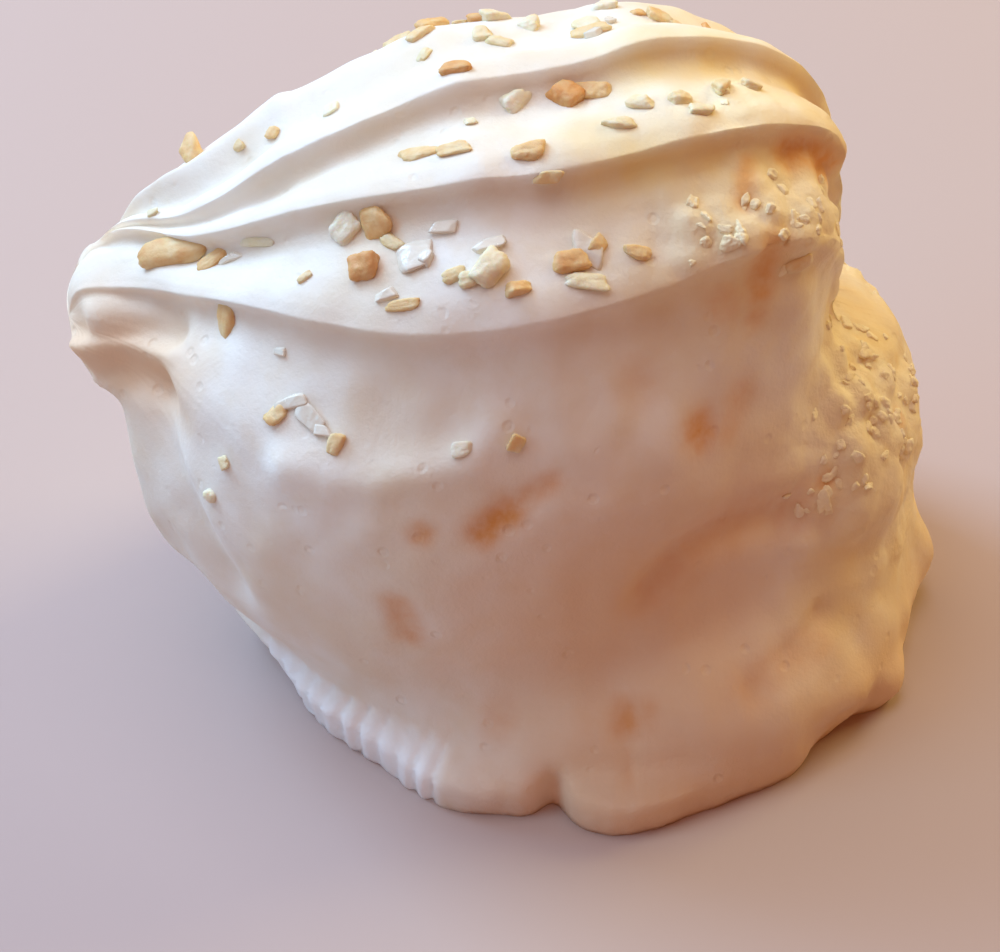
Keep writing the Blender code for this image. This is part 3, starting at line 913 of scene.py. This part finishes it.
# height, depth in mm, strength
RELIEFS = (
    (burst, 0.07, 0.8),
    (clouds(tree, place, GRAIN_MM, detail=4.0, roughness=0.65), 0.05, 0.8),
    (grit, 0.2, 1.0),
)
normal = None
for height, depth_mm, strength in RELIEFS:
    relief = {"Height": height, "Distance": depth_mm * MM, "Strength": strength}
    if normal is not None:
        relief["Normal"] = normal
    normal = node(tree, "ShaderNodeBump", relief).outputs["Normal"]
tree.links.new(normal, shader.inputs["Normal"])
meringue.data.materials.append(foam)
print("foam finish:", len(tree.nodes), "nodes")

# %% [markdown]
# ## Broken bits
#
# A nut breaks under a knife into bits with flat faces and worn corners. Each bit starts as a fine
# ball of points. Every direction is held back by a few cutting planes, blended so that the edges
# are round, and noise of two sizes roughens the faces. It is quicker than cutting a solid and
# always closed. With fewer planes the bits would look like dice, with smooth faces like pebbles.

# %% A chipped bit
FACE_TILT = 0.22
SIDE_FACES, CORNER_FACES = 6, 4
SIDE_DISTANCES = (0.75, 1.0)
CORNER_DISTANCES = (0.85, 1.15)
chance = np.random.default_rng(7)
ball = bmesh.new()
bmesh.ops.create_icosphere(ball, subdivisions=4, radius=1.0)
BALL_POINTS = np.array([tuple(vert.co) for vert in ball.verts])
BALL_FACES = [[vert.index for vert in face.verts] for face in ball.faces]
ball.free()


def chipped_bit(size_mm, roughness, edge):
    """Points of one bit around its own middle, in millimetres."""
    sides = np.concatenate([np.eye(3), -np.eye(3)]) + chance.normal(0.0, FACE_TILT, (SIDE_FACES, 3))
    planes = np.concatenate([sides, chance.normal(0.0, 1.0, (CORNER_FACES, 3))])
    planes /= np.linalg.norm(planes, axis=1)[:, None]
    side_distances = chance.uniform(*SIDE_DISTANCES, SIDE_FACES)
    distance = np.concatenate([side_distances, chance.uniform(*CORNER_DISTANCES, CORNER_FACES)])
    closeness = np.maximum(BALL_POINTS @ planes.T, 0.0) / distance
    reach = 1.0 / (closeness**edge).sum(1) ** (1.0 / edge)
    seed = float(chance.uniform(0.0, 50.0))
    rough = 0.6 * lumps(BALL_POINTS, 0.6, seed) + 0.4 * lumps(BALL_POINTS, 0.22, seed)
    return BALL_POINTS * (reach * (1.0 + roughness * rough))[:, None] * np.array(size_mm) / 2.0


print("one bit has", len(BALL_FACES), "faces")

# %% [markdown]
# ## Setting bits into the foam
#
# A bit lies on the nearest point of the skin, turned so that its flat side faces it. It is wider
# than a bump of the skin, so the skin's direction is averaged over its own width. Nearly half of a
# nut bit is sunk, because the foam was still wet. The heading is the way its long side points: 0
# is to the right, 90 is away from the camera and up. Each bit also gets a tone from 0, pale, to 1,
# well toasted, stored on its points for the finish to read.

# %% Setting bits
skin = BVHTree.FromPolygons(
    [tuple(point) for point in skin_points],
    [tuple(polygon.vertices) for polygon in meringue.data.polygons],
)
RIGHT = Vector((1.0, 0.0, 0.0))
AWAY = Vector((0.0, 0.643, 0.766))
STREWN_BEARINGS, STREWN_DISTANCES = (15.0, 165.0), (3.0, 17.0)
STREWN_MIDDLE = (-5.0, 0.0, 44.0)
STREWN_FALL = 0.7


def seat(place_mm, heading, reach):
    """Middle on the skin, and the length, width and outward directions of a bit there."""
    spot = skin.find_nearest(Vector(place_mm))[0]
    out = sum((near[1] for near in skin.find_nearest_range(spot, reach)), Vector()).normalized()
    along = RIGHT * math.cos(math.radians(heading)) + AWAY * math.sin(math.radians(heading))
    along = (along - out * along.dot(out)).normalized()
    return spot, np.array([along, out.cross(along), out])


def bits_piece(name, bits, finish, roughness=0.22, edge=5.0, sunk=0.45):
    """One mesh of all bits of a kind. Each bit is a place, a size, a heading and a tone."""
    points, faces, tones = [], [], []
    for place_mm, size_mm, heading, tone in bits:
        spot, axes = seat(place_mm, heading, max(0.3 * size_mm[0], 0.5))
        middle = np.array(spot) + axes[2] * size_mm[2] * (0.5 - sunk)
        faces += [[index + len(tones) for index in face] for face in BALL_FACES]
        points.append(middle + chipped_bit(size_mm, roughness, edge) @ axes)
        tones += [tone] * len(BALL_POINTS)
    mesh = bpy.data.meshes.new(name)
    mesh.from_pydata([tuple(point) for point in np.concatenate(points) * MM], [], faces)
    mesh.materials.append(finish)
    mesh.shade_smooth()
    store(mesh, "tone", tones)
    piece = bpy.data.objects.new(name, mesh)
    bpy.context.scene.collection.objects.link(piece)
    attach(piece, "root")
    print(name, "has", len(bits), "bits,", len(faces), "faces")
    return piece


def anywhere_behind(count, longest_mm):
    """Bits strewn over the far side of the top, where they fell at random."""
    strewn = []
    for _ in range(count):
        bearing = math.radians(chance.uniform(*STREWN_BEARINGS))
        away = chance.uniform(*STREWN_DISTANCES)
        x, y, top = STREWN_MIDDLE
        place = (
            away * math.cos(bearing) + x, away * math.sin(bearing) + y, top - STREWN_FALL * away
        )
        length = chance.uniform(0.4, 1.0) * longest_mm
        size = (length, length * chance.uniform(0.5, 0.9), length * chance.uniform(0.35, 0.6))
        strewn.append((place, size, chance.uniform(0.0, 180.0), chance.uniform(0.1, 0.8)))
    return strewn


print("the highest point of the skin is", round(float(skin_points[:, 2].max()), 1), "mm up")

# %% [markdown]
# ## Chopped toasted nuts
#
# Toasted nut is golden outside and orange-brown where it was hottest. It is dry and a little oily,
# so it is satin, with a soft light inside. The tone of each bit picks its colour from a row of
# three colours, and fine noise shades every bit from one end to the other. The bits lie where they
# fell, most of them on the broad ridge at the front and in the valleys behind it.

# %% Toasted nut finish


def nut_finish(name, palest, middle, darkest, gloss):
    finish, tree, nut, place = new_finish(name)
    tone = node(tree, "ShaderNodeAttribute", attribute_name="tone").outputs["Fac"]
    shading = clouds(tree, place, 0.9, 0.3, 0.7, -0.22, 0.22, detail=4.0)
    uneven = node(tree, "ShaderNodeMath", {0: tone, 1: shading}, operation="ADD").outputs["Value"]
    colour = palest
    for low, high, darker in ((0.0, 0.5, middle), (0.5, 1.0, darkest)):
        share = {"Value": uneven, "From Min": low, "From Max": high}
        share = node(tree, "ShaderNodeMapRange", share).outputs["Result"]
        layer = {MIX_SHARE: share, MIX_UNDER: colour, MIX_OVER: darker}
        colour = node(tree, "ShaderNodeMix", layer, data_type="RGBA").outputs[MIX_RESULT]
    grain = clouds(tree, place, 0.25, detail=4.0, roughness=0.7)
    bump = node(tree, "ShaderNodeBump", {"Height": grain, "Distance": 0.06 * MM, "Strength": 1.0})
    tree.links.new(colour, nut.inputs["Base Color"])
    tree.links.new(clouds(tree, place, 0.6, 0.3, 0.7, gloss, gloss + 0.2), nut.inputs["Roughness"])
    tree.links.new(bump.outputs["Normal"], nut.inputs["Normal"])
    nut.inputs["IOR"].default_value = 1.47
    nut.inputs["Subsurface Weight"].default_value = 0.25
    nut.inputs["Subsurface Radius"].default_value = (1.0, 0.6, 0.3)
    nut.inputs["Subsurface Scale"].default_value = 0.6 * MM
    return finish


toasted_nut = nut_finish("chopped_toasted_nut", "#F3E3BC", "#EBC78E", "#DC9A56", 0.42)
print("toasted nut finish:", len(toasted_nut.node_tree.nodes), "nodes")

# %% Toasted bits
# place in mm, size in mm, heading in degrees, tone
TOASTED = [
    ((-25.4, -4.1, 28.7), (5.6, 2.2, 1.4), -4, 0.55),
    ((-23.4, -6.0, 29.2), (2.5, 1.0, 0.7), 25, 0.60),
    ((-22.1, -9.3, 27.8), (2.9, 1.4, 0.9), 84, 0.45),
    ((-14.0, -11.7, 33.3), (2.1, 1.8, 1.4), 8, 0.80),
    ((-13.6, -9.4, 35.0), (2.2, 1.5, 1.0), 110, 0.55),
    ((-11.7, -14.2, 32.7), (2.3, 0.8, 0.5), 3, 0.45),
    ((-17.5, -11.0, 32.0), (1.0, 0.7, 0.5), 30, 0.30),
    ((-11.2, -7.0, 37.8), (2.3, 1.2, 0.7), 2, 0.40),
    ((-9.3, -7.5, 38.4), (2.0, 0.9, 0.6), -3, 0.36),
    ((-5.4, -8.1, 38.8), (2.1, 1.3, 0.9), 10, 0.55),
    ((-4.3, -9.2, 38.1), (1.6, 0.8, 0.5), 5, 0.45),
    ((-9.5, -2.2, 40.5), (2.0, 1.0, 0.7), 0, 0.85),
    ((-3.1, -2.9, 39.3), (2.3, 2.0, 1.3), 50, 0.80),
    ((-1.6, -2.4, 39.5), (2.2, 1.4, 0.9), 10, 0.45),
    ((-1.8, 3.6, 39.8), (2.7, 1.2, 0.7), 3, 0.36),
    ((2.1, 6.0, 39.6), (1.7, 1.3, 0.9), 20, 0.35),
    ((-20.2, 0.1, 34.5), (1.0, 0.8, 0.7), 80, 0.42),
    ((-22.3, 0.2, 33.4), (0.8, 0.7, 0.5), 20, 0.25),
    ((-25.7, 3.9, 30.4), (1.5, 1.4, 1.6), 70, 0.50),
    ((-18.9, -15.0, 25.3), (1.5, 1.2, 0.7), 30, 0.45),
    ((-15.4, -16.9, 25.0), (1.5, 1.1, 0.7), 70, 0.42),
    ((-5.6, -14.0, 33.9), (1.8, 1.0, 0.8), 15, 0.50),
    ((-2.8, -12.1, 34.5), (2.0, 1.5, 0.9), 20, 0.62),
    ((-1.2, -11.1, 34.9), (1.4, 1.0, 0.7), 60, 0.48),
    ((1.0, -11.3, 34.7), (1.7, 1.0, 0.6), -5, 0.50),
    ((10.4, -8.1, 32.4), (2.1, 1.0, 0.6), 15, 0.30),
    ((-5.4, -17.6, 26.1), (1.2, 1.0, 0.5), 70, 0.30),
]
bits_piece("toasted_nut_bits", TOASTED + anywhere_behind(14, 2.6), toasted_nut)

# %% [markdown]
# ## Pale nuts
#
# Some bits hardly browned. They are cream-coloured, a little greasy and almost lost on the foam,
# so their shape has to show them. They are smaller than the golden ones, and a little glossier.

# %% Pale bits
pale_nut = nut_finish("chopped_pale_nut", "#F6EEDA", "#F0E2BE", "#E8CA92", 0.36)
PALE = [
    ((-15.3, -9.2, 34.2), (2.1, 1.8, 1.0), 50, 0.1),
    ((-12.6, -10.7, 34.4), (1.8, 0.9, 0.6), -40, 0.7),
    ((-7.1, -13.0, 34.5), (2.6, 1.8, 1.6), 55, 0.5),
    ((-8.2, -13.6, 34.0), (1.5, 1.0, 0.7), 10, 0.6),
    ((-9.1, -13.3, 34.1), (1.6, 0.9, 0.6), 10, 0.8),
    ((-2.0, -13.1, 33.9), (2.6, 1.0, 0.6), 5, 0.4),
    ((-6.3, -3.5, 39.2), (1.7, 1.4, 0.8), 60, 0.2),
    ((-20.7, -6.7, 31.4), (2.9, 0.7, 0.5), 3, 0.4),
    ((-27.4, -1.7, 29.7), (0.8, 0.5, 0.4), 0, 0.5),
    ((-16.7, 0.2, 36.1), (1.2, 0.8, 0.5), 10, 0.3),
    ((-7.7, 6.0, 39.3), (1.6, 1.2, 1.1), 60, 0.5),
    ((-23.0, -14.5, 18.7), (1.0, 0.9, 0.8), 60, 0.3),
    ((-22.1, -14.6, 21.4), (0.9, 0.8, 0.6), 20, 0.6),
    ((-8.3, -18.1, 25.8), (1.2, 0.8, 0.5), 10, 0.1),
    ((-0.2, -5.9, 39.6), (1.7, 1.1, 0.7), 20, 0.6),
    ((0.9, -4.1, 39.8), (1.8, 1.2, 0.9), -10, 0.6),
    ((3.2, -3.7, 40.0), (1.5, 1.1, 0.8), 40, 0.7),
    ((4.3, -4.6, 39.9), (1.6, 1.1, 0.8), 15, 0.5),
    ((5.6, -1.9, 40.0), (1.5, 1.2, 0.9), 70, 0.8),
    ((7.2, -1.2, 39.4), (1.3, 1.1, 0.8), 20, 0.6),
    ((-8.5, -5.1, 38.7), (1.0, 0.6, 0.4), 10, 0.3),
]
bits_piece("pale_nut_bits", PALE + anywhere_behind(10, 1.7), pale_nut)

# %% [markdown]
# ## Clear sugar flakes
#
# A few thin flakes are nearly clear. They are sugar that ran and set like glass, and they catch
# the light along their edges. Real sugar glass has an index of refraction of about 1.5. It lets
# some light through and is smooth, so the white foam shows under it and its rim and its highlight
# are what is seen.

# %% Clear flakes
sugar_glass, tree, sugar, place = new_finish("set_clear_sugar")
sugar_colour = {
    MIX_SHARE: clouds(tree, place, 1.2), MIX_UNDER: "#FFFCF4", MIX_OVER: "#F8E8CC"
}
sugar_colour = node(tree, "ShaderNodeMix", sugar_colour, data_type="RGBA").outputs[MIX_RESULT]
waves = {"Height": clouds(tree, place, 0.5), "Distance": 0.05 * MM, "Strength": 1.0}
tree.links.new(sugar_colour, sugar.inputs["Base Color"])
tree.links.new(clouds(tree, place, 0.7, 0.3, 0.7, 0.08, 0.3), sugar.inputs["Roughness"])
tree.links.new(node(tree, "ShaderNodeBump", waves).outputs["Normal"], sugar.inputs["Normal"])
sugar.inputs["IOR"].default_value = 1.5
sugar.inputs["Transmission Weight"].default_value = 0.2
FLAKES = [
    ((-11.2, -11.8, 34.2), (2.1, 1.8, 0.5), 20, 0.0),
    ((-10.5, -12.0, 34.2), (1.2, 0.8, 0.6), 70, 0.0),
    ((-9.7, -10.7, 35.4), (1.7, 0.7, 0.4), 5, 0.0),
    ((-17.9, -14.6, 26.0), (1.7, 0.8, 0.4), 15, 0.0),
    ((-16.9, -15.6, 25.6), (1.9, 1.0, 0.4), -35, 0.0),
    ((-16.2, -16.2, 25.2), (1.2, 0.6, 0.4), -10, 0.0),
    ((-1.8, -11.4, 34.9), (2.2, 1.4, 0.5), -25, 0.0),
    ((-22.4, -6.4, 30.0), (1.6, 0.5, 0.4), 10, 0.0),
    ((-13.0, -13.8, 33.3), (1.2, 0.7, 0.4), 30, 0.0),
    ((-7.4, -12.2, 35.6), (1.6, 0.6, 0.4), 20, 0.0),
    ((-18.8, -12.3, 27.8), (0.8, 0.5, 0.3), 0, 0.0),
]
flakes = FLAKES + anywhere_behind(5, 1.6)
bits_piece("clear_sugar_flakes", flakes, sugar_glass, roughness=0.06, edge=12.0, sunk=0.3)

# %% [markdown]
# ## Loose foam crumbs
#
# Where the crust broke, small crumbs of foam still cling to it. Bump alone would leave their
# outline flat, so they are real bits, two thirds sunk, in the same foam. Places for them are
# drawn at random on the skin, and each is kept more often the more crumbly the skin is there.
# Their finish is the same foam without light passing through it, because a grain is smaller than
# the distance that light travels inside the body and would turn grey.

# %% Foam crumbs
CRUMBS = 130
CRUMB_LENGTHS = (0.5, 1.1)
CRUMBS_ABOVE = 3.0
crumb_places = []
crumbly_skin = crumbliness(skin_points)
for index in chance.permutation(len(skin_points)):
    if len(crumb_places) == CRUMBS:
        break
    if skin_points[index][2] > CRUMBS_ABOVE and crumbly_skin[index] > chance.uniform(0.35, 1.6):
        length = chance.uniform(*CRUMB_LENGTHS)
        size = (length, length * chance.uniform(0.6, 0.9), length * chance.uniform(0.5, 0.8))
        crumb_places.append((tuple(skin_points[index]), size, chance.uniform(0.0, 180.0), 0.0))
crumb_foam = foam.copy()
crumb_foam.name = "broken_egg_white_foam"
crumb_foam.node_tree.nodes["Principled BSDF"].inputs["Subsurface Weight"].default_value = 0.0
foam_crumbs = bits_piece(
    "foam_crumbs", crumb_places, crumb_foam, roughness=0.3, edge=4.0, sunk=0.68
)
store(foam_crumbs.data, "crumbly", np.ones(len(foam_crumbs.data.vertices)))
# the crumbs carry the same golden colour, painted warm light included
store(foam_crumbs.data, "golden_toast_and_warm_light", golden_toast_and_warm_light(points_of(foam_crumbs.data)))
